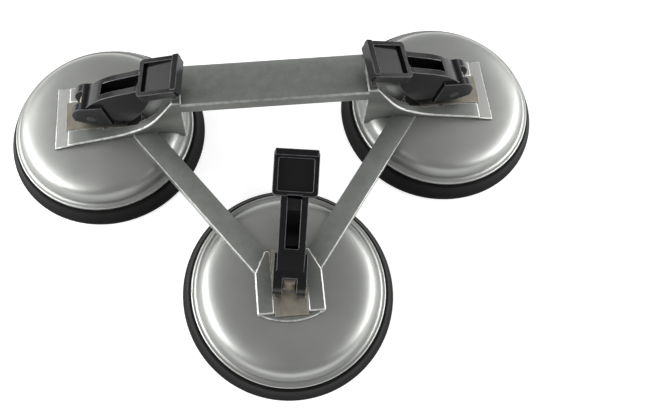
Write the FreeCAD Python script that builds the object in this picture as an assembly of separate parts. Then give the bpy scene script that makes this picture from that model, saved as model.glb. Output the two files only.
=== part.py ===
"""Three-cup suction lifter: cast grip frame, three cups, three cam levers.

Millimetres, +Z up. The origin lies on the resting plane, on the symmetry plane X = 0,
half way between the front cup's centre and the line through the two rear cups.
Each cup's working parts are built in a local frame: centre on the origin, +X towards the
lever's tip, then turned and moved to the three cups.
"""
import FreeCAD, Part
import math
import os

from FreeCAD import Vector as V

# ---- layout -------------------------------------------------------------------------
cup_spread = 207.2          # between the centres of the two rear cups
cup_setback = 107.3         # from the rear cups' line to the front cup's centre
left_skew = -6.0            # degrees that each lever stands askew of its slot at rest
right_skew = 5.0
front_skew = -8.0

# ---- rubber disc --------------------------------------------------------------------
disc_radius = 60.0
disc_lip_height = 2.4       # upright edge of the sealing lip
disc_lip_width = 8.0        # flat ring that seals on the tile
disc_hollow = 1.6           # depth of the hollow under the disc
disc_floor_top = 6.0        # top of the disc's thin middle
disc_edge = 0.4             # chamfer round the sealing lip
disc_bead_inner = 47.0      # inner radius of the raised bead under the cup's rim
disc_bead_margin = 1.4      # bead outside the cup's rim
disc_bead_bevel = 1.5
disc_bead_foot = 2.4        # spread of the bead's inner foot

# ---- cup ----------------------------------------------------------------------------
cup_radius = 54.0
cup_rim_bottom = 10.0
cup_rim_top = 12.5
cup_wall = 2.5
cup_shoulder_radius = 42.0  # where the rounded shoulder meets the crown
cup_shoulder_top = 22.4
cup_crown_top = 24.5
cup_land_width = 5.0        # underside of the rim, which presses on the disc
cup_skirt = 1.0             # how far the hollow opens below the rim
cup_rim_round = 0.9
cup_roof_corner = 3.0       # inside of the shoulder, in from the shoulder's radius
flange_land = 2.0           # flat seat beyond the sleeve's flange

# ---- saddle on each cup -------------------------------------------------------------
saddle_floor = 25.5         # top of the base plate, under the wear plate
saddle_end = 25.2           # outer end of the base plate, from the cup's centre
saddle_end_half = 20.1
saddle_end_fall = 0.4       # slope of the base plate's strip outside the cheeks
cheek_end = 17.5            # outer end of the cheeks
cheek_outer_height = 26.7
slot_half = 9.0
slot_floor_end = 25.0       # where the slot's floor starts to curve up, from the cup's centre
slot_end = 50.0             # where it meets the grip
slot_end_drop = 6.0         # below the grip's top
front_cheek_half = 18.0
front_cheek_height = 27.0
front_cheek_end = 17.0
front_nose = 21.6

# ---- grip ---------------------------------------------------------------------------
grip_half = 12.75
grip_top = 54.6
grip_side_height = 10.1
grip_crown = 0.5            # rise of the top between its two long facets
grip_facet_width = 4.2
grip_facet_drop = 1.1
grip_wall = 3.2
grip_bevel = 0.9            # between the facets and the sides
leg_start = 47.0            # where the scoop reaches the grip's top, from the cup's centre
leg_end = 52.5              # inner face of the leg under the grip's end
leg_draft = 2.0             # how much thinner the leg is at its foot
leg_bottom = 15.5           # underside of the leg and the struts

# ---- struts -------------------------------------------------------------------------
strut_width = 12.0
strut_top = 27.0
strut_crown = 0.3
strut_wall = 3.0
strut_roof = 3.5
strut_rear_along = 23.0     # outer edge at the rear saddle, from the rear cup's centre
strut_rear_side = 18.5
strut_front_along = 5.0     # outer edge at the front saddle, from the front cup's centre
strut_rear_tuck = 14.0      # length buried in the rear saddle
strut_front_tuck = 9.0      # length buried in the front saddle

# ---- stem, sleeve, plate and spring -------------------------------------------------
stem_radius = 5.5
tongue_thickness = 6.3
tongue_height = 6.6         # above the pivot
shoulder_radius = 8.0
shoulder_height = 1.2
foot_radius = 4.5
foot_head_radius = 6.5      # peened head that holds the stem in the backing plate
foot_head_height = 0.8
sleeve_radius = 7.0
flange_radius = 16.0
flange_thickness = 1.5
wear_thickness = 1.5
wear_length_out = 18.6
wear_length_in = 17.0
backing_radius = 36.0
backing_thickness = 2.0
backing_chamfer = 0.5
spring_radius = 12.6
spring_wire = 2.0
spring_turns = 3.0
spring_wire_sides = 12      # flats round the wire, which keep the coil's surface plain

# ---- lever --------------------------------------------------------------------------
pivot_height = 10.0         # of the pin's axis above the wear plate
pin_radius = 2.5
press_angle = 16.0          # degrees, from the pose at rest down to locked
lift = 3.0                  # how far the pad is drawn up over the press
raise_angle = 27.0          # degrees, until the heel meets the wear plate
heel_reach = 10.2
heel_back = 2.0             # height of the heel's back over the pin's axis
fork_half = 8.5
fork_chamfer = 2.5          # lets the fork swivel between the cheeks
swivel_relief = 1.3         # cheeks cut back beside the cams
swivel_relief_end = 4.0     # outer end of that relief, from the cup's centre
shaft_half = 6.9
channel_half = 3.3          # open channel along the shaft's top
channel_depth = 12.0
channel_end_depth = 3.0     # where it runs out under the pad
channel_end = 1.0           # before the top of the shaft meets the pad
fork_root = 9.0             # where the ears end in the shaft, from the pin's axis
fork_root_height = 12.0     # of the ears' back there
back_tuck = 1.0             # top of the shaft inside the pad
back_tuck_drop = 1.6        # and under its top
pad_half = 11.25
pad_length = 23.0
pad_thickness = 5.4
pad_rim = 2.6
pad_pocket = 2.2            # depth of the pocket at its inner end
pad_pocket_slope = 4.0      # degrees that the pocket's floor rises to the tip
pad_corner = 2.2
pocket_corner = 0.8
pocket_land = 1.0           # flat between the pocket and the bar
pad_lip = 1.6               # raised bar across the tip
pad_lip_width = 3.4
lip_inset = 0.6             # bar inside the pad's sides
pad_overhang = 15.6         # tip beyond the place where the scoop ends
pad_clearance = 0.8         # pad over the grip when locked
belly_clearance = 2.0       # shaft's underside over the scoop when locked
belly_inset = 0.6
ear_rise = 0.6              # of the fork's back over its cam radius
ear_shoulder = 0.78         # share of the cam radius where the back is roundest
pin_end = 0.1               # how far the pin stands out of each ear

# ---- clearances ---------------------------------------------------------------------
cast_gap = 0.04             # cup in frame, sleeve in cup and frame
run_gap = 0.06              # pin in eye and ears, stem in sleeve
seat_gap = 0.1              # flat faces of parts that move apart
rim_gap = 0.3               # cup's rim over the soft disc
cam_gap = 0.2               # cam over the wear plate
fork_gap = 0.35             # fork beside the tongue
side_gap = 0.15             # wear plate beside the cheeks

# ---- shapes, as shares of a length and a height ------------------------------------
wall_shape = ((0.0, 0.0), (0.153, 0.04), (0.297, 0.225), (0.468, 0.615), (0.712, 0.87), (1.0, 1.0))
crown_shape = ((0.857, 0.49), (0.667, 0.2), (0.333, 0.03), (0.0, 0.0))
inside_shape = ((0.0, 0.0), (0.13, 0.333), (0.36, 0.784), (1.0, 1.0))
hollow_shape = ((0.0, 1.0), (0.55, 0.8), (1.0, 0.0))
lip_shape = ((0.0, 0.0), (0.348, 0.356), (1.0, 1.0))
scoop_shape = ((0.0, 0.0), (0.34, 0.045), (0.61, 0.145), (0.73, 0.27), (0.845, 0.52), (0.92, 0.745),
               (1.0, 1.0))
back_shape = ((0.0, 0.0), (0.178, 0.291), (0.385, 0.53), (0.652, 0.738))
slot_shape = ((0.0, 0.0), (0.38, 0.14), (0.70, 0.52), (1.0, 1.0))
channel_shape = ((3.5, 0.08), (1.5, 1.0), (0.0, 1.0), (-5.0, 0.7))     # steps along, shares of depth

# ---- worked out ---------------------------------------------------------------------
rear_y = cup_setback / 2
front_y = -cup_setback / 2
cup_x = cup_spread / 2
wear_top = saddle_floor + wear_thickness
pivot_z = wear_top + pivot_height
ear_radius = pivot_height - cam_gap
cam_rate = lift / math.radians(press_angle)     # millimetres of lift per radian
backing_bottom = disc_floor_top + seat_gap
backing_top = backing_bottom + backing_thickness
crown_underside = cup_crown_top - cup_wall
spring_top = crown_underside - flange_thickness - seat_gap
fork_inner = tongue_thickness / 2 + fork_gap
tongue_root = wear_top - lift - 3 * seat_gap
tongue_sweep = math.hypot(stem_radius, tongue_height) + fork_gap
grip_underside = grip_top - grip_side_height
above = grip_top + 10.0     # clear of everything, for cuts that open upwards
beyond = cup_radius         # clear of a saddle's sides, for cuts that run right through


def polygon(points):
    """Closed face from points given in order."""
    return Part.Face(Part.makePolygon(list(points) + [points[0]]))


def side_face(edges):
    """Closed face from connected edges."""
    return Part.Face(Part.Wire(Part.__sortEdges__(edges)))


def along(points):
    """Straight edges through points of a side view, given as (x, z)."""
    corners = [V(x, 0, z) for x, z in points]
    return [Part.makeLine(a, b) for a, b in zip(corners, corners[1:])]


def smooth(points):
    """One smooth curve through points of a side view, given as (x, z)."""
    curve = Part.BSplineCurve()
    curve.interpolate([V(x, 0, z) for x, z in points])
    return [curve.toShape()]


def thick(face, half):
    """Side view extruded to both sides of the lever's plane."""
    face = face.copy()
    face.translate(V(0, -half, 0))
    return face.extrude(V(0, 2 * half, 0))


def turned(edges):
    """Solid of revolution about Z from a closed side view."""
    return side_face(edges).revolve(V(0, 0, 0), V(0, 0, 1), 360)


def rod(radius, bottom, top):
    return Part.makeCylinder(radius, top - bottom, V(0, 0, bottom))


def block(x0, x1, y0, y1, z0, z1):
    return Part.makeBox(x1 - x0, y1 - y0, z1 - z0, V(x0, y0, z0))


def one_solid(shape):
    """The tidy single solid of a Boolean result."""
    shape = shape.removeSplitter()
    solids = sorted(shape.Solids, key=lambda solid: -solid.Volume)
    return solids[0]


# ---- cup and disc -------------------------------------------------------------------

def cup_outside(grow=0.0):
    """Filled outer form of a cup. grow thickens it, for seats cut in other parts."""
    rim = cup_radius + grow
    rim_top = cup_rim_top + grow
    turn = rim - cup_rim_round
    corner = cup_rim_round * (1 - math.cos(math.pi / 4))
    run = turn - cup_shoulder_radius
    rise = cup_shoulder_top - cup_rim_top
    edges = along([(0, cup_crown_top + grow), (0, cup_rim_bottom - grow),
                   (rim, cup_rim_bottom - grow), (rim, rim_top - cup_rim_round)])
    edges.append(Part.Arc(V(rim, 0, rim_top - cup_rim_round),
                          V(rim - corner, 0, rim_top - corner), V(turn, 0, rim_top)).toShape())
    fall = cup_crown_top - cup_shoulder_top
    outline = [(turn - run * s, rim_top + rise * t) for s, t in wall_shape]
    outline += [(cup_shoulder_radius * s, cup_crown_top + grow - fall * t) for s, t in crown_shape]
    edges += smooth(outline)
    return turned(edges)


def cup_inside():
    """Hollow of a cup, with a flat seat for the sleeve's flange under the crown."""
    land = cup_radius - cup_land_width
    below = cup_rim_bottom - cup_skirt
    roof = cup_shoulder_top - cup_wall
    run = land - cup_shoulder_radius + cup_roof_corner
    rise = roof - cup_rim_bottom
    edges = along([(0, crown_underside), (0, below), (land, below), (land, cup_rim_bottom)])
    edges += smooth([(land - run * s, cup_rim_bottom + rise * t) for s, t in inside_shape])
    edges += along([(land - run, roof), (flange_radius + flange_land, crown_underside),
                    (0, crown_underside)])
    return turned(edges)


def make_cup():
    bore = rod(sleeve_radius + cast_gap, crown_underside - 1, cup_crown_top + 1)
    return one_solid(cup_outside().cut(cup_inside()).cut(bore))


def make_disc():
    bead_top = cup_rim_bottom - rim_gap
    bead_outer = cup_radius + disc_bead_margin
    lip_start = disc_radius - disc_lip_width
    run = disc_radius - bead_outer
    rise = bead_top - disc_lip_height
    edges = along([(0, disc_floor_top), (0, disc_hollow)])
    edges += smooth([(lip_start * s, disc_hollow * t) for s, t in hollow_shape])
    edges += along([(lip_start, 0), (disc_radius - disc_edge, 0), (disc_radius, disc_edge),
                    (disc_radius, disc_lip_height)])
    edges += smooth([(disc_radius - run * s, disc_lip_height + rise * t) for s, t in lip_shape])
    edges += along([(bead_outer, bead_top), (disc_bead_inner + disc_bead_bevel, bead_top),
                    (disc_bead_inner, bead_top - disc_bead_bevel),
                    (disc_bead_inner - disc_bead_foot, disc_floor_top), (0, disc_floor_top)])
    return one_solid(turned(edges))


# ---- frame --------------------------------------------------------------------------

def scoop_points():
    """Top edge of a rear cheek, from its outer end up to the grip."""
    rise = grip_top - cheek_outer_height
    run = leg_start + cheek_end
    return [(-cheek_end + run * s, cheek_outer_height + rise * t) for s, t in scoop_shape]


def rear_saddle():
    """Base plate, cheeks and leg at a rear cup, with the lever's slot."""
    side = along([(leg_start, grip_top), (leg_end, grip_top),
                  (leg_end - leg_draft, leg_bottom), (-saddle_end, leg_bottom),
                  (-saddle_end, saddle_floor - saddle_end_fall), (-cheek_end, saddle_floor),
                  (-cheek_end, cheek_outer_height)])
    side += smooth(scoop_points())
    plan = polygon([V(-saddle_end, -saddle_end_half, 0), V(leg_start, -grip_half, 0),
                    V(leg_end, -grip_half, 0), V(leg_end, grip_half, 0),
                    V(leg_start, grip_half, 0), V(-saddle_end, saddle_end_half, 0)])
    body = thick(side_face(side), beyond).common(plan.extrude(V(0, 0, above)))
    return body.cut(rear_slot())


def rear_slot():
    """Slot for the lever: open outwards, its floor curving up to the grip."""
    run = slot_end - slot_floor_end
    rise = grip_top - slot_end_drop - saddle_floor
    curve = [(slot_floor_end + run * s, saddle_floor + rise * t) for s, t in slot_shape]
    edges = along([(slot_end, above), (-beyond, above), (-beyond, saddle_floor), curve[0]])
    edges += smooth(curve)
    edges += along([curve[-1], (slot_end, above)])
    return thick(side_face(edges), slot_half)


def front_saddle():
    """Base plate with a rounded nose and two low cheeks at the front cup."""
    reach = front_cheek_half - strut_width / 2
    nose = Part.Arc(V(-front_cheek_end, -front_cheek_half, 0), V(-front_nose, 0, 0),
                    V(-front_cheek_end, front_cheek_half, 0)).toShape()
    rest = Part.makePolygon([V(-front_cheek_end, front_cheek_half, 0),
                             V(strut_front_along, front_cheek_half, 0),
                             V(strut_front_along + reach, reach, 0),
                             V(strut_front_along + reach, -reach, 0),
                             V(strut_front_along, -front_cheek_half, 0),
                             V(-front_cheek_end, -front_cheek_half, 0)])
    outline = Part.Face(Part.Wire([nose] + rest.Edges))
    base = outline.extrude(V(0, 0, saddle_floor))
    cheeks = outline.extrude(V(0, 0, front_cheek_height))
    cheeks = cheeks.cut(block(-beyond, -front_cheek_end, -beyond, beyond, saddle_floor, above))
    cheeks = cheeks.cut(block(-beyond, beyond, -slot_half, slot_half, saddle_floor, above))
    return base.fuse(cheeks).cut(block(-beyond, beyond, -beyond, beyond, -1, leg_bottom))


def grip_section(half, top, bottom, crown):
    """Cross-section of the grip in the plane across its length, given half its width."""
    shelf = half - grip_facet_width
    ridge = top - crown
    left = V(0, -shelf, ridge)
    right = V(0, shelf, ridge)
    round_top = Part.Arc(left, V(0, 0, top), right).toShape()
    flat = Part.makePolygon([right, V(0, half - grip_bevel, ridge - grip_facet_drop),
                             V(0, half, ridge - grip_facet_drop - grip_bevel), V(0, half, bottom),
                             V(0, -half, bottom), V(0, -half, ridge - grip_facet_drop - grip_bevel),
                             V(0, -half + grip_bevel, ridge - grip_facet_drop), left])
    return Part.Face(Part.Wire([round_top] + flat.Edges))


def grip():
    """Bar between the two legs, a channel open below."""
    half_length = cup_x - leg_start
    inner_half = half_length - leg_end + leg_start
    bar = grip_section(grip_half, grip_top, grip_underside, grip_crown)
    bar.translate(V(-half_length, rear_y, 0))
    bar = bar.extrude(V(2 * half_length, 0, 0))
    hollow = block(-inner_half, inner_half, rear_y - grip_half + grip_wall,
                   rear_y + grip_half - grip_wall, grip_underside - 1, grip_top - grip_wall - grip_crown)
    return bar.cut(hollow)


def strut_section(axis, across, half, top, crown, bottom):
    """Cross-section of a strut at a point of its axis; across is its sideways direction."""
    left = axis - across * half
    right = axis + across * half
    shoulder = V(0, 0, top - crown)
    arc = Part.Arc(left + shoulder, axis + V(0, 0, top), right + shoulder).toShape()
    rest = Part.makePolygon([right + shoulder, right + V(0, 0, bottom), left + V(0, 0, bottom),
                             left + shoulder])
    return Part.Face(Part.Wire([arc] + rest.Edges))


def strut(side):
    """Straight rail from a rear saddle to the front saddle; side is -1 left, +1 right."""
    rear = V(side * (cup_x - strut_rear_along), rear_y - strut_rear_side, 0)
    front = V(side * front_cheek_half, front_y + strut_front_along, 0)
    length = (front - rear).Length + strut_rear_tuck + strut_front_tuck
    run = (front - rear).normalize()
    inward = V(run.y, -run.x, 0) * side
    start = rear - run * strut_rear_tuck + inward * (strut_width / 2)
    half = strut_width / 2
    solid = strut_section(start, inward, half, strut_top, strut_crown, leg_bottom)
    hollow = strut_section(start, inward, half - strut_wall, strut_top - strut_roof, strut_crown,
                           leg_bottom - 1)
    return solid.extrude(run * length).cut(hollow.extrude(run * length))


def make_frame():
    frame = grip()
    for turn, x in ((0, -cup_x), (180, cup_x)):
        frame = frame.fuse(placed(rear_saddle(), turn, x, rear_y))
    frame = frame.fuse(placed(front_saddle(), 90, 0, front_y))
    for side in (-1, 1):
        frame = frame.fuse(strut(side))
    for turn, x, y in cups.values():
        frame = frame.cut(placed(cup_outside(cast_gap), turn, x, y))
        frame = frame.cut(placed(rod(sleeve_radius + cast_gap, 0, saddle_floor + 1), turn, x, y))
        frame = frame.cut(placed(lever_way(), turn, x, y))
    return one_solid(frame)


def lever_way():
    """Clear way for the lever over its saddle, down to the saddle's floor."""
    inner = slot_floor_end
    way = block(-saddle_end, inner, -slot_half, slot_half, saddle_floor, grip_top)
    half = slot_half + swivel_relief
    return way.fuse(block(swivel_relief_end, inner, -half, half, wear_top, grip_top))


# ---- working parts of one cup -------------------------------------------------------

def make_sleeve():
    barrel = rod(sleeve_radius, crown_underside - flange_thickness, wear_top - seat_gap)
    flange = rod(flange_radius, crown_underside - flange_thickness, crown_underside)
    bore = rod(stem_radius + run_gap, 0, wear_top + 1)
    return one_solid(barrel.fuse(flange).cut(bore))


def make_wear_plate():
    half = slot_half - side_gap
    plate = block(-wear_length_out, wear_length_in, -half, half, saddle_floor, wear_top)
    return one_solid(plate.cut(rod(sleeve_radius + cast_gap, 0, wear_top + 1)))


def make_backing():
    disc = rod(backing_radius, backing_bottom, backing_top)
    disc = disc.makeChamfer(backing_chamfer, [disc.Edges[0], disc.Edges[2]])
    recess = rod(foot_head_radius + run_gap, 0, backing_bottom + foot_head_height + seat_gap)
    return one_solid(disc.cut(rod(foot_radius + run_gap, 0, backing_top + 1)).cut(recess))


def make_stem():
    seat = backing_top + seat_gap
    head = rod(foot_head_radius, backing_bottom, backing_bottom + foot_head_height)
    foot = rod(foot_radius, backing_bottom, seat).fuse(head)
    shoulder = rod(shoulder_radius, seat, seat + shoulder_height)
    shaft = rod(stem_radius, seat, pivot_z + tongue_height)
    half = tongue_thickness / 2
    for near, far in ((-beyond, -half), (half, beyond)):
        shaft = shaft.cut(block(-beyond, beyond, near, far, tongue_root, above))
    return one_solid(foot.fuse(shoulder).fuse(shaft).cut(cross_bore()))


def cross_bore():
    """Bore for the pin, right through a fork or a tongue."""
    return Part.makeCylinder(pin_radius + run_gap, 2 * beyond, V(0, -beyond, pivot_z), V(0, 1, 0))


def make_spring():
    bottom = backing_top + seat_gap + spring_wire / 2
    top = spring_top - spring_wire / 2
    pitch = (top - bottom) / spring_turns
    helix = Part.makeHelix(pitch, top - bottom, spring_radius)
    helix.translate(V(0, 0, bottom))
    section = []
    for side in range(spring_wire_sides):
        angle = 2 * math.pi * side / spring_wire_sides
        section.append(V(spring_radius + spring_wire / 2 * math.cos(angle), 0,
                         bottom + spring_wire / 2 * math.sin(angle)))
    outline = Part.makePolygon(section + [section[0]])
    return one_solid(Part.Wire(helix.Edges).makePipeShell([outline], True, True))


def make_pin():
    length = 2 * (fork_half + pin_end)
    return Part.makeCylinder(pin_radius, length, V(0, -length / 2, pivot_z), V(0, 1, 0))


# ---- lever --------------------------------------------------------------------------

def cam_point(angle):
    """Point of the cam that bears on the wear plate after pressing by angle (radians)."""
    reach = ear_radius + cam_rate * angle
    return (cam_rate * math.cos(angle) + reach * math.sin(angle),
            cam_rate * math.sin(angle) - reach * math.cos(angle))


def from_locked(x, z):
    """Point of the locked lever, measured from its pivot, back to the lever at rest."""
    angle = math.radians(press_angle)
    return (x * math.cos(angle) - z * math.sin(angle), x * math.sin(angle) + z * math.cos(angle))


def lever_frame():
    """Places that the lever's outline hangs on in the locked pose, measured from the pivot."""
    locked_pivot = pivot_z + lift
    pad_under = grip_top + pad_clearance - locked_pivot
    tip = leg_start + pad_overhang
    return {"under": pad_under, "top": pad_under + pad_thickness, "pad_end": tip,
            "pad_start": tip - pad_length, "pivot": locked_pivot}


def belly_points():
    """Underside of the shaft: in the locked pose it follows the scoop of the cheeks."""
    places = lever_frame()
    points = [cam_point(math.radians(press_angle) * share) for share in (0.0, 0.5, 1.0)]
    for x, z in scoop_points()[3:6]:
        points.append(from_locked(x - belly_inset, z + belly_clearance - places["pivot"]))
    points.append(from_locked(leg_start - belly_clearance, places["under"]))
    return points


def back_points():
    """Top of the shaft, from the ears to the pad."""
    places = lever_frame()
    pad = from_locked(places["pad_start"] + back_tuck, places["top"] - back_tuck_drop)
    ear_top = ear_radius + ear_rise
    reach, height = pad[0], pad[1] - ear_top
    return [(reach * s, ear_top + height * t) for s, t in back_shape] + [pad]


def fork_outline():
    """Side view of the ears, closed over the shaft's root."""
    lean = math.radians(raise_angle)
    tangent = (-ear_radius * math.sin(lean), -ear_radius * math.cos(lean))
    slide = (heel_reach + tangent[0]) / math.cos(lean)
    heel = (-heel_reach, tangent[1] + slide * math.sin(lean))
    middle = (-ear_radius * math.sin(lean / 2), -ear_radius * math.cos(lean / 2))
    shoulder = ear_radius * ear_shoulder
    edges = along([(cam_point(0)[0], -ear_radius), (0, -ear_radius)])
    edges.append(Part.Arc(V(0, 0, -ear_radius), V(middle[0], 0, middle[1]),
                          V(tangent[0], 0, tangent[1])).toShape())
    edges += along([tangent, heel, (-heel_reach, heel_back)])
    edges.append(Part.Arc(V(-heel_reach, 0, heel_back), V(-shoulder, 0, shoulder),
                          V(0, 0, ear_radius + ear_rise)).toShape())
    edges += along([(0, ear_radius + ear_rise), (fork_root, fork_root_height),
                    (cam_point(0)[0], -ear_radius)])
    return side_face(edges)


def make_fork():
    """Two ears as one block, the edges that face the wear plate chamfered."""
    fork = thick(fork_outline(), fork_half)
    low = [edge for edge in fork.Edges
           if abs(abs(edge.CenterOfMass.y) - fork_half) < 0.01
           and edge.CenterOfMass.z < -ear_radius / 2 and edge.CenterOfMass.x < fork_root - 1]
    return fork.makeChamfer(fork_chamfer, low)


def shaft_outline():
    """Side view of the crescent shaft, from the ears' root to under the pad."""
    back = back_points()
    belly = belly_points()
    edges = smooth(back) + along([back[-1], belly[-1]]) + smooth(belly)
    edges += along([belly[0], (fork_root, 0), back[0]])
    return side_face(edges)


def pad_block(start, end, half, bottom, top, corner):
    """Flat block of the pad in the locked pose, measured from the pivot."""
    body = block(start, end, -half, half, bottom, top)
    upright = [edge for edge in body.Edges if abs(edge.tangentAt(edge.FirstParameter).z) > 0.9]
    return body.makeFillet(corner, upright)


def make_pad():
    """Thumb pad with a pocket, and a raised bar across its tip."""
    places = lever_frame()
    start, end, top = places["pad_start"], places["pad_end"], places["top"]
    pad = pad_block(start, end, pad_half, places["under"], top, pad_corner)
    lip = pad_block(end - pad_lip_width, end, pad_half - lip_inset, top - pad_lip, top + pad_lip,
                    lip_inset)
    pocket = pad_block(start + pad_rim, end - pad_lip_width - pocket_land, pad_half - pad_rim,
                       top - pad_pocket, above, pocket_corner)
    pocket.rotate(V(start + pad_rim, 0, top - pad_pocket), V(0, 1, 0), -pad_pocket_slope)
    pad = pad.fuse(lip).cut(pocket)
    pad.rotate(V(0, 0, 0), V(0, 1, 0), -press_angle)
    return pad


def channel():
    """Deep channel along the top of the shaft, running out under the pad."""
    back = back_points()
    floor = [(x + step, z - channel_depth * share)
             for (x, z), (step, share) in zip(back[1:], channel_shape)]
    end_x, end_z = back[-1]
    edges = smooth(floor)
    edges += along([floor[-1], (end_x - channel_end, end_z - channel_end_depth), (end_x, above),
                    (floor[0][0], above), floor[0]])
    return thick(side_face(edges), channel_half)


def make_lever():
    lever = thick(shaft_outline(), shaft_half).fuse(make_fork()).fuse(make_pad()).cut(channel())
    lever.translate(V(0, 0, pivot_z))
    lever = lever.cut(block(-beyond, tongue_sweep, -fork_inner, fork_inner, 0,
                            pivot_z + tongue_sweep))
    lever = lever.cut(block(-beyond, -fork_inner, -fork_inner, fork_inner, 0, above))
    return one_solid(lever.cut(cross_bore()))


# ---- placing and writing ------------------------------------------------------------

cups = {
    "left": (0, -cup_x, rear_y),
    "right": (180, cup_x, rear_y),
    "front": (90, 0, front_y),
}

skews = {"left": left_skew, "right": right_skew, "front": front_skew}

swivelling = ("stem", "pivot_pin", "lever")

cup_parts = {
    "cup": make_cup,
    "suction_disc": make_disc,
    "guide_sleeve": make_sleeve,
    "wear_plate": make_wear_plate,
    "backing_plate": make_backing,
    "stem": make_stem,
    "spring": make_spring,
    "pivot_pin": make_pin,
    "lever": make_lever,
}


def placed(shape, turn, x, y):
    """Copy of a shape from the local frame to a cup."""
    copy = shape.copy()
    copy.rotate(V(0, 0, 0), V(0, 0, 1), turn)
    copy.translate(V(x, y, 0))
    return copy


def main():
    os.makedirs("parts", exist_ok=True)
    make_frame().exportStep("parts/carry_frame.step")
    for name, make in cup_parts.items():
        shape = make()
        for cup, (turn, x, y) in cups.items():
            skew = skews[cup] if name in swivelling else 0
            placed(shape, turn + skew, x, y).exportStep("parts/%s_%s.step" % (cup, name))


main()
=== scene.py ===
"""Three-cup suction lifter: rounded edges, finishes, moulded discs and studio."""
import math

import bmesh
import bpy
from bpy.props import FloatProperty, FloatVectorProperty, PointerProperty
from mathutils import Matrix, Vector
from mathutils.bvhtree import BVHTree


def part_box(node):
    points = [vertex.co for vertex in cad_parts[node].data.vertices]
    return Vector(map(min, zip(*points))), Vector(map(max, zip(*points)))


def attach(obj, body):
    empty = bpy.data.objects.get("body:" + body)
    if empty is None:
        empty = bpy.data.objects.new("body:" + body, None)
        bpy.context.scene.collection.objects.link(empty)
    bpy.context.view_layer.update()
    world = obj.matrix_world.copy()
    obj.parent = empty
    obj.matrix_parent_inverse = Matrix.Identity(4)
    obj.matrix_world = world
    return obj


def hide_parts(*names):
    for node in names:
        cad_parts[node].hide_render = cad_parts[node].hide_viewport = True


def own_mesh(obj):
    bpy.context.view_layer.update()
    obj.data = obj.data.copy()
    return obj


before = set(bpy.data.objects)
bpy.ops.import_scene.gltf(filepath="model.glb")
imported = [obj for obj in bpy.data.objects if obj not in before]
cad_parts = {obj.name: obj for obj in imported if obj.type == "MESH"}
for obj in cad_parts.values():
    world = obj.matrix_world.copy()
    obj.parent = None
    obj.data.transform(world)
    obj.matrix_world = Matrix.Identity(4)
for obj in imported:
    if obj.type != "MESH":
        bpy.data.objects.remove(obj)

bl_info = {
    "name": "Suction Lifter",
    "version": (1, 0, 0),
    "blender": (4, 5, 0),
    "location": "View3D > Sidebar > Suction Lifter",
    "description": "Dresses a three-cup suction lifter and its studio",
    "category": "Object",
}

MM = 0.001
CUPS = ("left", "right", "front")

# Edges that turn more than this are sharp: outer ones are rounded, inner ones stay sharp.
SHARP_TURN = math.radians(28.0)
# Neighbouring faces that turn less than this are merged before rounding.
FLAT_TURN = math.radians(1.0)

# How far apart the lines that working leaves in steel are.
STEEL_LINES = 0.9 * MM

# Soft lights: name, place, width and height, power in watts. All face LIT_POINT.
LIT_POINT = (0.0, 0.0, 0.02)
LIGHTS = (
    ("left_box", (-0.88, -0.2, 0.57), (0.95, 0.54), 5.2),
    ("right_box", (0.94, -0.26, 0.53), (0.9, 0.52), 3.5),
    ("left_back_box", (-0.72, 0.54, 0.54), (0.3, 0.24), 0.62),
    ("right_back_box", (0.76, 0.5, 0.52), (0.3, 0.24), 0.6),
    ("left_strip", (-1.0, 0.0, 0.32), (0.9, 0.24), 5.4),
    ("right_strip", (1.0, 0.0, 0.32), (0.9, 0.22), 4.2),
)

# The room's glow: brighter low down and behind the lifter, over an even share.
LOW_GLOW = (0.0, 1.15, 1.0, 0.0)
BACK_GLOW = (-0.7, 0.8, 0.12, 0.42)
EVEN_GLOW = 0.22

FLOOR_HALF = 3.0
FLOOR_DROP = 0.2 * MM
FLOOR_GLOW = 0.66

CAMERA_PLACE = (-0.01321, -0.11683, 0.32843)
CAMERA_FORWARD = (0.0293, 0.3444, -0.9384)
CAMERA_RIGHT = (0.9969, -0.0781, 0.0024)
CAMERA_LENS = 32.07
CAMERA_SHIFT = (0.0743, -0.0132)


# ---- what a user would change ---------------------------------------------------------

def colour(name, text, default):
    return FloatVectorProperty(name=name, description=text, subtype="COLOR", size=3,
                               min=0.0, max=1.0, default=default)


def length(name, text, default):
    return FloatProperty(name=name, description=text, default=default, min=0.0,
                         unit="LENGTH", precision=5)


class LifterSizes(bpy.types.PropertyGroup):
    casting_round: length("Casting edges", "Rounding of the frame's edges", 0.8 * MM)
    lever_round: length("Lever edges", "Rounding of the levers' edges", 0.35 * MM)
    steel_round: length("Steel edges", "Rounding of the small steel pieces' edges", 0.15 * MM)
    rubber_flash: length("Mould line", "How far the mould line stands out of the disc", 0.2 * MM)
    rubber_groove: length("Grooves", "Depth of the grooves in the sealing lip", 0.4 * MM)


class LifterColours(bpy.types.PropertyGroup):
    cup: colour("Cup", "Blasted aluminium of the cups", (0.50, 0.51, 0.49))
    casting: colour("Frame", "Cast aluminium of the frame", (0.38, 0.395, 0.372))
    rubber: colour("Rubber", "Black rubber of the discs", (0.007, 0.007, 0.0068))
    nylon: colour("Levers", "Black nylon of the levers", (0.008, 0.008, 0.009))
    wear_steel: colour("Wear plate", "Rolled steel of the wear plates", (0.62, 0.575, 0.48))
    stem_steel: colour("Stem", "Turned steel of the stems", (0.70, 0.63, 0.51))
    zinc: colour("Zinc", "Zinc plating of the inner pieces", (0.56, 0.57, 0.59))
    floor: colour("Floor", "Pale floor of the studio", (0.80, 0.80, 0.80))


# ---- finishes -------------------------------------------------------------------------

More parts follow.
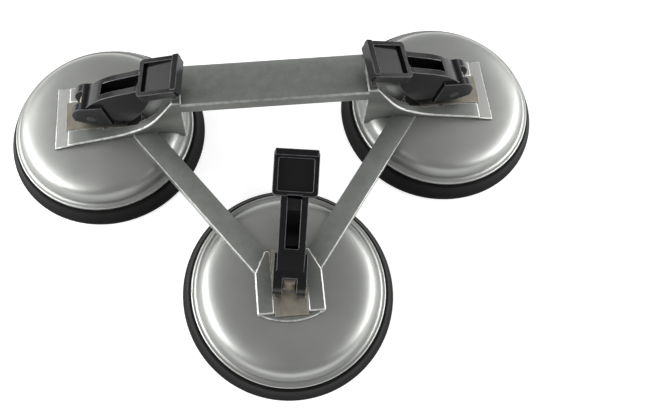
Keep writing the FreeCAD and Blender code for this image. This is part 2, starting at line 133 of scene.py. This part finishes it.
class Finish:
    """One node material being put together."""

    def __init__(self, name):
        self.material = bpy.data.materials.new(name)
        self.material.use_nodes = True
        self.tree = self.material.node_tree
        self.tree.nodes.clear()
        self.output = self.add("ShaderNodeOutputMaterial")
        self.shader = self.add("ShaderNodeBsdfPrincipled")
        self.link(self.shader.outputs["BSDF"], self.output.inputs["Surface"])
        self.place = self.add("ShaderNodeTexCoord").outputs["Object"]

    def add(self, kind, **settings):
        node = self.tree.nodes.new(kind)
        for key, value in settings.items():
            setattr(node, key, value)
        return node

    def link(self, source, target):
        self.tree.links.new(source, target)

    def feed(self, socket, value):
        if isinstance(value, bpy.types.NodeSocket):
            self.link(value, socket)
        else:
            socket.default_value = value

    def noise(self, grain, detail=2.0, roughness=0.5, stretch=(1, 1, 1)):
        """Noise whose blotches are about grain metres wide."""
        mapping = self.add("ShaderNodeMapping")
        mapping.inputs["Scale"].default_value = stretch
        self.link(self.place, mapping.inputs["Vector"])
        node = self.add("ShaderNodeTexNoise")
        self.link(mapping.outputs["Vector"], node.inputs["Vector"])
        node.inputs["Scale"].default_value = 1.0 / grain
        node.inputs["Detail"].default_value = detail
        node.inputs["Roughness"].default_value = roughness
        return node.outputs["Fac"]

    def span(self, value, low, high, to_low=0.0, to_high=1.0):
        node = self.add("ShaderNodeMapRange")
        self.feed(node.inputs["Value"], value)
        for socket, number in (("From Min", low), ("From Max", high),
                               ("To Min", to_low), ("To Max", to_high)):
            node.inputs[socket].default_value = number
        return node.outputs["Result"]

    def maths(self, operation, first, second=0.0):
        node = self.add("ShaderNodeMath", operation=operation)
        self.feed(node.inputs[0], first)
        self.feed(node.inputs[1], second)
        return node.outputs[0]

    def mix(self, share, first, second):
        node = self.add("ShaderNodeMix", data_type="RGBA")
        self.feed(node.inputs["Factor"], share)
        for socket, value in ((node.inputs[6], first), (node.inputs[7], second)):
            if isinstance(value, bpy.types.NodeSocket):
                self.link(value, socket)
            else:
                socket.default_value = (*value, 1.0)
        return node.outputs[2]

    def axis(self, name):
        """Place along X, Y or Z, in metres."""
        split = self.add("ShaderNodeSeparateXYZ")
        self.link(self.place, split.inputs["Vector"])
        return split.outputs[name]

    def facing(self, name):
        """How far the surface faces along X, Y or Z, either way."""
        split = self.add("ShaderNodeSeparateXYZ")
        normal = self.add("ShaderNodeNewGeometry").outputs["Normal"]
        self.link(normal, split.inputs["Vector"])
        return self.maths("ABSOLUTE", split.outputs[name])

    def edges(self, radius, low=0.004, high=0.12):
        """1 where the surface turns sharply within radius, 0 on flats."""
        bevel = self.add("ShaderNodeBevel", samples=6)
        bevel.inputs["Radius"].default_value = radius
        geometry = self.add("ShaderNodeNewGeometry")
        dot = self.add("ShaderNodeVectorMath", operation="DOT_PRODUCT")
        self.link(bevel.outputs["Normal"], dot.inputs[0])
        self.link(geometry.outputs["Normal"], dot.inputs[1])
        return self.span(self.maths("SUBTRACT", 1.0, dot.outputs["Value"]), low, high)

    def painted_highlight(self, patchy=0.3):
        """Mask of the painted highlight: 1 on the edges that rounding made, broken up a little by
        noise.
        """
        mark = self.add("ShaderNodeAttribute", attribute_name="painted_highlight").outputs["Fac"]
        return self.maths("MULTIPLY", mark,
                          self.span(self.noise(3 * MM, 3.0), 0.3, 0.6, 1.0 - patchy, 1.0))

    def shade_in_hollows(self, reach):
        """Mask of painted shade: 1 where something shuts the surface in within reach, 0 in the
        open.
        """
        node = self.add("ShaderNodeAmbientOcclusion", samples=6)
        node.inputs["Distance"].default_value = reach
        return self.span(node.outputs["AO"], 0.35, 0.95, 1.0, 0.0)

    def bump(self, height, distance, strength=1.0, under=None):
        node = self.add("ShaderNodeBump")
        node.inputs["Strength"].default_value = strength
        node.inputs["Distance"].default_value = distance
        self.link(height, node.inputs["Height"])
        if under is not None:
            self.link(under, node.inputs["Normal"])
        return node.outputs["Normal"]

    def set(self, **values):
        names = {"base": "Base Color", "metal": "Metallic", "rough": "Roughness",
                 "normal": "Normal", "coat": "Coat Weight", "coat_rough": "Coat Roughness",
                 "specular": "Specular IOR Level", "sheen": "Sheen Weight",
                 "sheen_rough": "Sheen Roughness", "anisotropy": "Anisotropic"}
        for key, value in values.items():
            self.feed(self.shader.inputs[names[key]], value)
        return self.material


def scaled(tint, factor):
    return tuple(min(1.0, channel * factor) for channel in tint)


def blasted_aluminium(tint):
    """Cups: fine bead-blasted aluminium, cloudy; painted shade low on the wall and in recesses,
    painted highlight at sharp edges.
    """
    finish = Finish("blasted_aluminium")
    grain = finish.noise(0.45 * MM, 3.0, 0.6)
    clouds = finish.noise(22 * MM, 3.0)
    base = finish.mix(finish.span(clouds, 0.35, 0.65), scaled(tint, 0.95), scaled(tint, 1.05))
    base = finish.mix(finish.span(grain, 0.35, 0.65, 0.0, 0.22), base, scaled(tint, 0.8))
    # Painted shade: a darker band on the wall, from just above the rim up towards the shoulder.
    shaded_wall_foot = finish.maths("MULTIPLY", finish.span(finish.axis("Z"), 12.7 * MM, 13.2 * MM),
                        finish.span(finish.axis("Z"), 15 * MM, 22 * MM, 1.0, 0.0))
    base = finish.mix(finish.maths("MULTIPLY", shaded_wall_foot, 0.75), base, scaled(tint, 0.4))
    # Painted shade in recesses.
    base = finish.mix(finish.maths("MULTIPLY", finish.shade_in_hollows(5 * MM), 0.35), base,
                      scaled(tint, 0.45))
    # Painted highlight on sharp edges.
    base = finish.mix(finish.maths("MULTIPLY", finish.edges(0.5 * MM), 0.6), base,
                      scaled(tint, 1.6))
    return finish.set(base=base, metal=1.0, rough=finish.span(grain, 0.3, 0.7, 0.38, 0.46),
                      normal=finish.bump(grain, 0.03 * MM, 0.5))


def cast_aluminium(tint):
    """Frame: shot-blasted die casting, coarser than the cups.

    Its edges and the outer tips of its saddles carry a painted highlight; its recesses and its
    steep faces high up carry painted shade.
    """
    finish = Finish("cast_aluminium")
    grain = finish.noise(0.7 * MM, 3.0, 0.65)
    skin = finish.noise(6 * MM, 4.0, 0.6)
    base = finish.mix(finish.span(skin, 0.3, 0.7), scaled(tint, 0.88), scaled(tint, 1.08))
    base = finish.mix(finish.span(grain, 0.4, 0.7, 0.0, 0.3), base, scaled(tint, 0.7))
    # Painted shade in recesses.
    base = finish.mix(finish.maths("MULTIPLY", finish.shade_in_hollows(16 * MM), 0.8), base,
                      scaled(tint, 0.3))
    # Painted shade: steep faces high up on the frame are darkened.
    shaded_high_sides = finish.maths("MULTIPLY", finish.span(finish.axis("Z"), 36 * MM, 42 * MM),
                          finish.span(finish.facing("Z"), 0.3, 0.75, 0.42, 0.0))
    base = finish.mix(shaded_high_sides, base, scaled(tint, 0.2))
    # Painted highlight: the outer tips of the saddles, and the rounded edges, less of it on the
    # grip; the metal share drops where it is painted.
    lit_saddle_ends = finish.span(finish.maths("ABSOLUTE", finish.axis("X")), 117 * MM, 122 * MM, 0.0, 0.5)
    grip_highlight_share = finish.span(finish.axis("Z"), 44 * MM, 50 * MM, 1.0, 0.4)
    painted_highlight = finish.maths("MAXIMUM", finish.maths("MULTIPLY", finish.painted_highlight(0.6), grip_highlight_share), lit_saddle_ends)
    base = finish.mix(painted_highlight, base, (0.8, 0.8, 0.78))
    rough = finish.span(grain, 0.3, 0.7, 0.44, 0.54)
    normal = finish.bump(skin, 0.06 * MM, 0.4)
    return finish.set(base=base, metal=finish.span(painted_highlight, 0.0, 1.0, 0.95, 0.6), rough=rough,
                      normal=finish.bump(grain, 0.05 * MM, 0.6, normal))


def moulded_rubber(tint):
    """Discs: matt black rubber, dusty in places."""
    finish = Finish("moulded_rubber")
    grain = finish.noise(0.35 * MM, 2.0)
    dust = finish.noise(9 * MM, 4.0, 0.65)
    base = finish.mix(finish.span(dust, 0.45, 0.75, 0.0, 0.5), tint, scaled(tint, 2.4))
    return finish.set(base=base, rough=finish.span(dust, 0.3, 0.7, 0.5, 0.62), specular=0.1,
                      sheen=0.01, sheen_rough=0.5, normal=finish.bump(grain, 0.03 * MM, 0.5))


def glossy_nylon(tint):
    """Levers: glossy black moulded nylon with handling marks, and a painted highlight greying the
    edges.
    """
    finish = Finish("glossy_nylon")
    flow = finish.noise(5 * MM, 2.0)
    marks = finish.noise(1.2 * MM, 5.0, 0.7, (1.0, 6.0, 1.0))
    # Painted highlight: the rounded edges are greyed.
    base = finish.mix(finish.maths("MULTIPLY", finish.painted_highlight(0.5), 0.8), tint,
                      scaled(tint, 16.0))
    return finish.set(base=base, rough=finish.span(marks, 0.35, 0.75, 0.18, 0.28), specular=0.3,
                      coat=0.05, coat_rough=0.12, normal=finish.bump(flow, 0.12 * MM, 0.25))


def worked_steel(name, tint, grain_size, stretch, roughness, drawn):
    """Steel with the fine lines that rolling, turning or drawing leaves, and a painted highlight
    on its sharp edges.
    """
    finish = Finish(name)
    lines = finish.noise(grain_size, 3.0, 0.6, stretch)
    stain = finish.noise(4 * MM, 4.0, 0.6)
    base = finish.mix(finish.span(stain, 0.35, 0.7), scaled(tint, 0.82), scaled(tint, 1.1))
    base = finish.mix(finish.span(lines, 0.4, 0.65, 0.0, 0.3), base, scaled(tint, 0.7))
    # Painted highlight on sharp edges.
    base = finish.mix(finish.maths("MULTIPLY", finish.edges(0.3 * MM), 0.6), base,
                      scaled(tint, 1.6))
    return finish.set(base=base, metal=1.0, anisotropy=drawn,
                      rough=finish.span(lines, 0.3, 0.7, roughness - 0.05, roughness + 0.07),
                      normal=finish.bump(lines, 0.02 * MM, 0.4))


def wear(piece, material):
    """Gives a piece its only material."""
    piece.data.materials.clear()
    piece.data.materials.append(material)


# ---- meshes ---------------------------------------------------------------------------

def soften(mesh, angle=30.0):
    """Smooth shading that keeps edges sharper than angle degrees."""
    for face in mesh.polygons:
        face.use_smooth = True
    mesh.set_sharp_from_angle(angle=math.radians(angle))


def rounded_copy(node, name, body, radius, segments=2):
    """Piece in a node's shape with its outer edges rounded; it stands for the node.

    The faces that the rounding makes carry a face attribute, for finishes that paint a highlight
    there.
    """
    mesh = bmesh.new()
    mesh.from_mesh(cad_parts[node].data)
    bmesh.ops.remove_doubles(mesh, verts=mesh.verts, dist=0.002 * MM)
    bmesh.ops.dissolve_limit(mesh, angle_limit=FLAT_TURN, verts=mesh.verts, edges=mesh.edges,
                             use_dissolve_boundaries=False)
    outer = mesh.edges.layers.float.new("bevel_weight_edge")
    for edge in mesh.edges:
        if edge.calc_face_angle(0.0) > SHARP_TURN:
            edge.smooth = False
            edge[outer] = 1.0 if edge.is_convex else 0.0
    sharp = BVHTree.FromBMesh(mesh)
    data = bpy.data.meshes.new(name)
    mesh.to_mesh(data)
    mesh.free()
    for face in data.polygons:
        face.use_smooth = True
    for _ in range(2):
        data.materials.append(None)
    piece = bpy.data.objects.new(name, data)
    bpy.context.scene.collection.objects.link(piece)
    bevel = piece.modifiers.new("Rounding", "BEVEL")
    bevel.width = radius
    bevel.segments = segments
    bevel.limit_method = "WEIGHT"
    bevel.use_clamp_overlap = False
    bevel.material = 1
    flats = piece.modifiers.new("Flats", "WEIGHTED_NORMAL")
    flats.weight = 90
    flats.keep_sharp = True
    settled(piece)
    pull_back(piece.data, sharp, 0.55 * radius)
    mark_highlight_faces(piece.data)
    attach(piece, body)
    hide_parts(node)
    return piece


def pull_back(data, sharp, depth):
    """Puts points that rounding threw off the sharp surface, or too deep, back onto it."""
    for vertex in data.vertices:
        place, normal, _, gap = sharp.find_nearest(vertex.co)
        if gap > depth or (gap > 0.01 * MM and (vertex.co - place).dot(normal) > 0):
            vertex.co = place


def mark_highlight_faces(data):
    """Stores which faces rounding gave the second material, as the mask of the painted highlight,
    then leaves all with the first.
    """
    mark = data.attributes.new("painted_highlight", "FLOAT", "FACE")
    mark.data.foreach_set("value", [float(face.material_index) for face in data.polygons])
    for face in data.polygons:
        face.material_index = 0


def settled(piece):
    """Applies a piece's modifiers."""
    depsgraph = bpy.context.evaluated_depsgraph_get()
    data = bpy.data.meshes.new_from_object(piece.evaluated_get(depsgraph))
    piece.modifiers.clear()
    old = piece.data
    piece.data = data
    bpy.data.meshes.remove(old)
    data.name = piece.name


def turned_piece(name, profile, steps=192):
    """Solid of revolution about Z from a closed profile of (radius, height) in metres."""
    mesh = bmesh.new()
    rings = []
    for step in range(steps):
        turn = Matrix.Rotation(2 * math.pi * step / steps, 3, "Z")
        rings.append([mesh.verts.new(turn @ Vector((radius, 0, height)))
                      for radius, height in profile])
    count = len(profile)
    for step, ring in enumerate(rings):
        after = rings[(step + 1) % steps]
        for i in range(count):
            j = (i + 1) % count
            mesh.faces.new((ring[i], after[i], after[j], ring[j]))
    bmesh.ops.remove_doubles(mesh, verts=mesh.verts, dist=0.001 * MM)
    bmesh.ops.recalc_face_normals(mesh, faces=mesh.faces)
    data = bpy.data.meshes.new(name)
    mesh.to_mesh(data)
    mesh.free()
    soften(data, 40.0)
    piece = bpy.data.objects.new(name, data)
    bpy.context.scene.collection.objects.link(piece)
    return piece


def node_centre(node):
    """Middle of a node's box in plan."""
    low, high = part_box(node)
    return Vector(((low.x + high.x) / 2, (low.y + high.y) / 2, 0.0))


# ---- pieces ---------------------------------------------------------------------------

def rounded(radius, height, size, start, end, steps=6):
    """Points of an arc of a profile about (radius, height), angles in degrees."""
    points = []
    for step in range(steps + 1):
        angle = math.radians(start + (end - start) * step / steps)
        points.append((radius + size * math.cos(angle), height + size * math.sin(angle)))
    return points


def disc_profile(outer, flash, groove):
    """Cross-section of a moulded disc, from the middle of its underside round to its top."""
    floor = 6.0 * MM
    # Underside, sinking to the flat sealing lip.
    points = [(0.0, floor), (0.0, 1.6 * MM), (18 * MM, 1.5 * MM), (34 * MM, 1.2 * MM),
              (46 * MM, 0.6 * MM), (outer - 8.0 * MM, 0.0)]
    # Two grooves in the lip.
    for ring in (outer - 6.0 * MM, outer - 3.4 * MM):
        points += [(ring - 0.5 * MM, 0.0), (ring, groove), (ring + 0.5 * MM, 0.0)]
    # Outer edge, with the mould line standing out of it.
    points += rounded(outer - flash - 0.7 * MM, 0.7 * MM, 0.7 * MM, -90, 0)
    points += [(outer - flash, 1.15 * MM), (outer, 1.3 * MM), (outer, 1.45 * MM),
               (outer - flash, 1.6 * MM)]
    points += rounded(outer - flash - 1.0 * MM, 2.0 * MM, 1.0 * MM, 0, 38)
    # Sloping side, bead under the cup's rim, and down to the middle.
    points += [(outer - 1.9 * MM, 4.4 * MM), (outer - 3.0 * MM, 6.9 * MM)]
    points += rounded(outer - 5.0 * MM, 8.7 * MM, 1.0 * MM, 15, 90)
    points += [(outer - 11.4 * MM, 9.7 * MM), (outer - 13.0 * MM, 8.3 * MM),
               (outer - 15.0 * MM, 6.5 * MM), (outer - 16.0 * MM, floor)]
    return points


def inside_box(piece, node):
    """Raises an error if a piece leaves its node's box."""
    low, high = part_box(node)
    for vertex in piece.data.vertices:
        place = piece.matrix_world @ vertex.co
        for axis in range(3):
            if not low[axis] - 0.02 * MM <= place[axis] <= high[axis] + 0.02 * MM:
                raise RuntimeError(f"{piece.name} leaves the box of {node}")


class LIFTER_OT_discs(bpy.types.Operator):
    """Mould the three rubber discs"""

    bl_idname = "lifter.discs"
    bl_label = "Rubber discs"

    def execute(self, context):
        sizes, colours = context.scene.lifter_sizes, context.scene.lifter_colours
        material = moulded_rubber(tuple(colours.rubber))
        for cup in CUPS:
            node = f"{cup}_suction_disc"
            low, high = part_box(node)
            outer = (high.x - low.x) / 2
            profile = disc_profile(outer, sizes.rubber_flash, sizes.rubber_groove)
            piece = turned_piece(f"{cup}_rubber_disc", profile)
            piece.location = node_centre(node)
            bpy.context.view_layer.update()
            inside_box(piece, node)
            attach(piece, "root")
            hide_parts(node)
            wear(piece, material)
        return {"FINISHED"}


class LIFTER_OT_frame(bpy.types.Operator):
    """Round and finish the cast frame"""

    bl_idname = "lifter.frame"
    bl_label = "Cast frame"

    def execute(self, context):
        sizes, colours = context.scene.lifter_sizes, context.scene.lifter_colours
        piece = rounded_copy("carry_frame", "cast_frame", "root", sizes.casting_round)
        wear(piece, cast_aluminium(tuple(colours.casting)))
        return {"FINISHED"}


class LIFTER_OT_cups(bpy.types.Operator):
    """Finish the three aluminium cups"""

    bl_idname = "lifter.cups"
    bl_label = "Cups"

    def execute(self, context):
        material = blasted_aluminium(tuple(context.scene.lifter_colours.cup))
        for cup in CUPS:
            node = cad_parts[f"{cup}_cup"]
            wear(node, material)
        return {"FINISHED"}


class LIFTER_OT_levers(bpy.types.Operator):
    """Round and finish the three cam levers"""

    bl_idname = "lifter.levers"
    bl_label = "Cam levers"

    def execute(self, context):
        sizes, colours = context.scene.lifter_sizes, context.scene.lifter_colours
        material = glossy_nylon(tuple(colours.nylon))
        for cup in CUPS:
            piece = rounded_copy(f"{cup}_lever", f"{cup}_cam_lever", f"{cup}_cam_lever",
                                 sizes.lever_round, 3)
            wear(piece, material)
        return {"FINISHED"}


class LIFTER_OT_steel(bpy.types.Operator):
    """Round the visible steel pieces and finish them all"""

    bl_idname = "lifter.steel"
    bl_label = "Steel pieces"

    def execute(self, context):
        sizes, colours = context.scene.lifter_sizes, context.scene.lifter_colours
        zinc = tuple(colours.zinc)
        # Kind: material's name, tint, stretch of its lines, roughness, anisotropy, slot.
        kinds = {
            "wear_plate": ("rolled_steel", tuple(colours.wear_steel), (1, 9, 1), 0.34, 0.3,
                           "wear_steel"),
            "stem": ("turned_steel", tuple(colours.stem_steel), (1, 1, 9), 0.48, 0.2, "tan_steel"),
            "guide_sleeve": ("plated_sleeve", zinc, (1, 1, 8), 0.3, 0.2, "zinc_steel"),
            "backing_plate": ("plated_disc", zinc, (1, 5, 1), 0.38, 0.2, "zinc_steel"),
            "pivot_pin": ("ground_steel", scaled(zinc, 0.3), (6, 6, 1), 0.3, 0.3,
                          "bright_steel"),
            "spring": ("spring_wire", scaled(zinc, 0.72), (1, 1, 6), 0.36, 0.2, "spring_steel"),
        }
        for kind, (name, tint, stretch, roughness, drawn, slot) in kinds.items():
            material = worked_steel(name, tint, STEEL_LINES, stretch, roughness, drawn)
            for cup in CUPS:
                node = f"{cup}_{kind}"
                wear(self.piece(node, cup, kind, sizes.steel_round), material)
        return {"FINISHED"}

    def piece(self, node, cup, kind, radius):
        """The node itself, or a rounded piece for a node that shows its edges."""
        if kind == "wear_plate":
            return rounded_copy(node, f"{cup}_wear_strip", "root", radius)
        if kind == "stem":
            return rounded_copy(node, f"{cup}_tongue", f"{cup}_stem_swivel", radius)
        if kind == "spring":
            return self.coil(node, cup)
        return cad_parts[node]

    def coil(self, node, cup):
        """Spring as a piece of its own, in the node's shape."""
        piece = bpy.data.objects.new(f"{cup}_coil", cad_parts[node].data.copy())
        bpy.context.scene.collection.objects.link(piece)
        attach(piece, "root")
        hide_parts(node)
        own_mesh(piece)
        return piece


# ---- studio ---------------------------------------------------------------------------

def studio_floor(tint):
    """Pale floor that still takes the lifter's shadow."""
    finish = Finish("studio_floor")
    path = finish.add("ShaderNodeLightPath")
    seen = finish.maths("MAXIMUM", path.outputs["Is Camera Ray"],
                        finish.maths("MAXIMUM", path.outputs["Is Glossy Ray"],
                                     path.outputs["Is Transmission Ray"]))
    speckle = finish.noise(30 * MM, 2.0)
    base = finish.mix(speckle, scaled(tint, 0.99), tint)
    glow = finish.shader.inputs["Emission Strength"]
    finish.shader.inputs["Emission Color"].default_value = (1, 1, 1, 1)
    finish.link(finish.maths("MULTIPLY", seen, FLOOR_GLOW), glow)
    return finish.set(base=base, rough=0.9, specular=0.1)


def soft_light(name, place, size, power):
    """Rectangular soft light at place, facing the lifter."""
    data = bpy.data.lights.new(name, "AREA")
    data.shape = "RECTANGLE"
    data.size, data.size_y = size
    data.energy = power
    lamp = bpy.data.objects.new(name, data)
    bpy.context.scene.collection.objects.link(lamp)
    lamp.location = place
    lamp.rotation_mode = "QUATERNION"
    lamp.rotation_quaternion = (Vector(LIT_POINT) - Vector(place)).to_track_quat("-Z", "Y")


class LIFTER_OT_studio(bpy.types.Operator):
    """Set up the floor, the lights and the camera"""

    bl_idname = "lifter.studio"
    bl_label = "Studio"

    def execute(self, context):
        scene = context.scene
        scene.view_settings.view_transform = "Standard"
        self.floor(tuple(scene.lifter_colours.floor))
        self.world(scene)
        for light in LIGHTS:
            soft_light(*light)
        self.camera(scene)
        return {"FINISHED"}

    def floor(self, tint):
        mesh = bmesh.new()
        bmesh.ops.create_grid(mesh, x_segments=12, y_segments=12, size=FLOOR_HALF)
        data = bpy.data.meshes.new("studio_floor")
        mesh.to_mesh(data)
        mesh.free()
        piece = bpy.data.objects.new("studio_floor", data)
        bpy.context.scene.collection.objects.link(piece)
        piece.location.z = -FLOOR_DROP
        data.materials.append(studio_floor(tint))

    def world(self, scene):
        world = bpy.data.worlds.new("studio_world")
        scene.world = world
        world.use_nodes = True
        tree = world.node_tree
        sky = tree.nodes["Background"]
        sky.inputs["Color"].default_value = (1, 1, 1, 1)
        place = tree.nodes.new("ShaderNodeTexCoord")
        split = tree.nodes.new("ShaderNodeSeparateXYZ")
        low = tree.nodes.new("ShaderNodeMapRange")
        back = tree.nodes.new("ShaderNodeMapRange")
        glow = tree.nodes.new("ShaderNodeMath")
        tree.links.new(place.outputs["Generated"], split.inputs["Vector"])
        for node, axis, limits in ((low, "Z", LOW_GLOW), (back, "Y", BACK_GLOW)):
            tree.links.new(split.outputs[axis], node.inputs["Value"])
            for socket, number in zip(("From Min", "From Max", "To Min", "To Max"), limits):
                node.inputs[socket].default_value = number
        glow.operation = "MULTIPLY_ADD"
        glow.inputs[2].default_value = EVEN_GLOW
        tree.links.new(low.outputs["Result"], glow.inputs[0])
        tree.links.new(back.outputs["Result"], glow.inputs[1])
        tree.links.new(glow.outputs["Value"], sky.inputs["Strength"])

    def camera(self, scene):
        data = bpy.data.cameras.new("camera")
        data.sensor_width = 36.0
        data.lens = CAMERA_LENS
        data.shift_x, data.shift_y = CAMERA_SHIFT
        data.clip_start = 0.01
        piece = bpy.data.objects.new("camera", data)
        scene.collection.objects.link(piece)
        forward = Vector(CAMERA_FORWARD).normalized()
        right = Vector(CAMERA_RIGHT).normalized()
        up = right.cross(forward)
        turn = Matrix((right, up, -forward)).transposed().to_4x4()
        piece.matrix_world = Matrix.Translation(CAMERA_PLACE) @ turn
        scene.camera = piece


# ---- panel and registration -----------------------------------------------------------

OPERATORS = (LIFTER_OT_frame, LIFTER_OT_cups, LIFTER_OT_discs, LIFTER_OT_levers,
             LIFTER_OT_steel, LIFTER_OT_studio)


class LIFTER_PT_panel(bpy.types.Panel):
    """Buttons and settings of the suction lifter"""

    bl_idname = "LIFTER_PT_panel"
    bl_label = "Suction Lifter"
    bl_space_type = "VIEW_3D"
    bl_region_type = "UI"
    bl_category = "Suction Lifter"

    def draw(self, context):
        for group in (context.scene.lifter_sizes, context.scene.lifter_colours):
            box = self.layout.box()
            for name in group.__annotations__:
                box.prop(group, name)
        for operator in OPERATORS:
            self.layout.operator(operator.bl_idname)


CLASSES = (LifterSizes, LifterColours, *OPERATORS, LIFTER_PT_panel)


def register():
    for cls in CLASSES:
        bpy.utils.register_class(cls)
    bpy.types.Scene.lifter_sizes = PointerProperty(type=LifterSizes)
    bpy.types.Scene.lifter_colours = PointerProperty(type=LifterColours)


def unregister():
    del bpy.types.Scene.lifter_colours
    del bpy.types.Scene.lifter_sizes
    for cls in reversed(CLASSES):
        bpy.utils.unregister_class(cls)


def main():
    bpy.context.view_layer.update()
    register()
    for operator in OPERATORS:
        group, name = operator.bl_idname.split(".")
        getattr(getattr(bpy.ops, group), name)()


if __name__ == "__main__":
    main()
